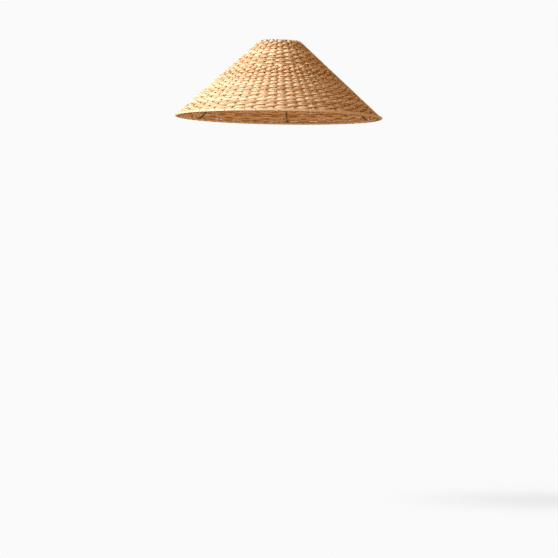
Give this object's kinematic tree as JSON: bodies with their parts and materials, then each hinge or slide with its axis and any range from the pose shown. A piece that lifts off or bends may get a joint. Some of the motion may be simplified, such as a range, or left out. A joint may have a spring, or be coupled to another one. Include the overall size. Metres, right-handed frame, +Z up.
{
  "type": "lamp shade",
  "caption": "Wide cone-shaped woven rattan lamp shade on a black wire frame, with a ring fitter for a threaded lamp socket.",
  "frame": {"origin": "middle of the plane that the rim rests on", "axes": "+Z up the shade's axis from the rim to the top opening; +X points at the first long stake"},
  "size_m": [0.6392, 0.6392, 0.2393],
  "materials": {
    "black_wire": "satin black powder coat",
    "stake_rattan": "natural satin",
    "woven_rattan": "natural satin",
    "border_cane": "natural satin",
    "binding_cane": "natural satin"
  },
  "bodies": {
    "root": {"top_ring": "black_wire", "rim_ring": "black_wire", "fitter_ring": "black_wire", "fitter_arm_1": "black_wire", "fitter_arm_2": "black_wire", "fitter_arm_3": "black_wire", "rib_1": "black_wire", "rib_2": "black_wire", "rib_3": "black_wire", "rib_4": "black_wire", "rib_5": "black_wire", "rib_6": "black_wire", "stake_01": "stake_rattan", "stake_02": "stake_rattan", "stake_03": "stake_rattan", "stake_04": "stake_rattan", "stake_05": "stake_rattan", "stake_06": "stake_rattan", "stake_07": "stake_rattan", "stake_08": "stake_rattan", "stake_09": "stake_rattan", "stake_10": "stake_rattan", "stake_11": "stake_rattan", "stake_12": "stake_rattan", "stake_13": "stake_rattan", "stake_14": "stake_rattan", "stake_15": "stake_rattan", "stake_16": "stake_rattan", "stake_17": "stake_rattan", "stake_18": "stake_rattan", "stake_19": "stake_rattan", "stake_20": "stake_rattan", "stake_21": "stake_rattan", "stake_22": "stake_rattan", "stake_23": "stake_rattan", "stake_24": "stake_rattan", "stake_25": "stake_rattan", "stake_26": "stake_rattan", "stake_27": "stake_rattan", "stake_28": "stake_rattan", "stake_29": "stake_rattan", "stake_30": "stake_rattan", "short_stakes": "stake_rattan", "upper_weave": "woven_rattan", "lower_weave": "woven_rattan", "rim_cane_outer": "border_cane", "rim_cane_inner": "border_cane", "top_cane": "border_cane", "rim_binding": "binding_cane", "top_binding": "binding_cane"}
  },
  "joints": []
}
